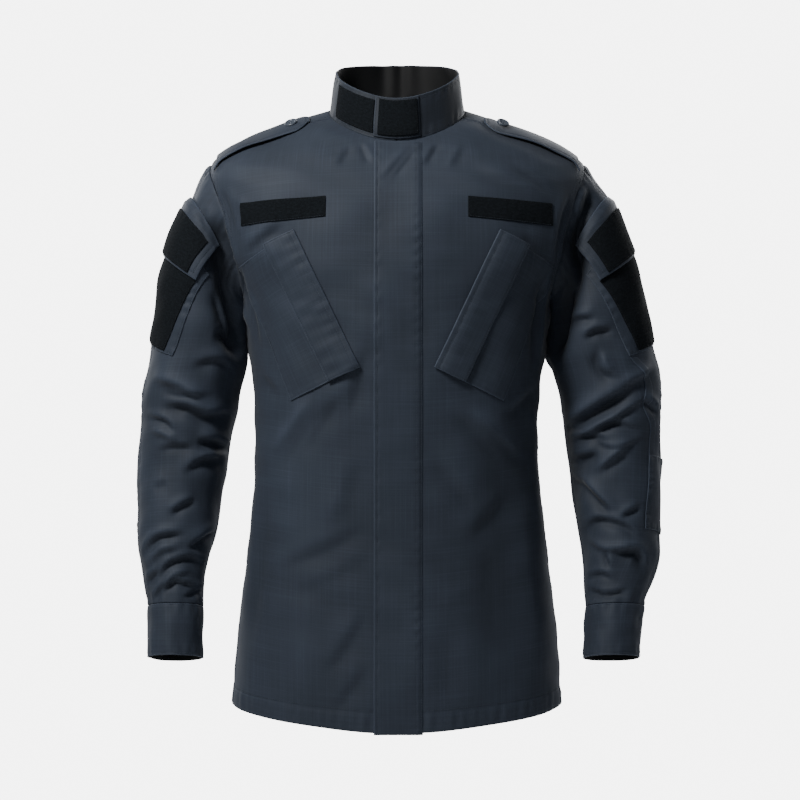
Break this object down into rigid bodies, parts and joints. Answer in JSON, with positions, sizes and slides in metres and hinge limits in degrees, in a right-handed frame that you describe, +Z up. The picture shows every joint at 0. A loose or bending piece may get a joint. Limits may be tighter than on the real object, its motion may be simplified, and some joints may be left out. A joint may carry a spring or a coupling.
{
  "type": "police uniform jacket",
  "caption": "Long-sleeved police uniform jacket, closed and filled out as worn, with a stand-up collar, shoulder straps, slanted chest pockets, sleeve pockets and hook-and-loop patches.",
  "frame": {"origin": "middle of the neck opening, level with the points where the collar meets the shoulders; the wearer's shoulders and neck hold the jacket there", "axes": "+Z up, -Y the front of the jacket, +X the wearer's left"},
  "size_m": [0.66, 0.2752, 0.8265],
  "materials": {
    "cloth": "dark slate navy ripstop, matt with a slight sheen",
    "loop_tape": "near-black hook-and-loop fabric, very matt",
    "button": "dark navy, satin"
  },
  "bodies": {
    "root": {"back": "cloth", "placket": "cloth", "collar": "cloth", "collar_tab": "cloth", "front_left": "cloth", "front_right": "cloth", "chest_pocket_left": "cloth", "chest_pocket_right": "cloth", "chest_flap_left": "cloth", "chest_flap_right": "cloth", "epaulette_left": "cloth", "epaulette_right": "cloth", "sleeve_front_left": "cloth", "sleeve_front_right": "cloth", "sleeve_back_left": "cloth", "sleeve_back_right": "cloth", "cuff_left": "cloth", "cuff_right": "cloth", "sleeve_pocket_left": "cloth", "sleeve_pocket_right": "cloth", "sleeve_flap_left": "cloth", "sleeve_flap_right": "cloth", "elbow_patch_left": "cloth", "elbow_patch_right": "cloth", "collar_loop_patch": "loop_tape", "collar_tab_patch": "loop_tape", "name_tape_left": "loop_tape", "name_tape_right": "loop_tape", "sleeve_pocket_panel_left": "loop_tape", "sleeve_pocket_panel_right": "loop_tape", "sleeve_flap_panel_left": "loop_tape", "sleeve_flap_panel_right": "loop_tape", "epaulette_button_left": "button", "epaulette_button_right": "button"}
  },
  "joints": []
}
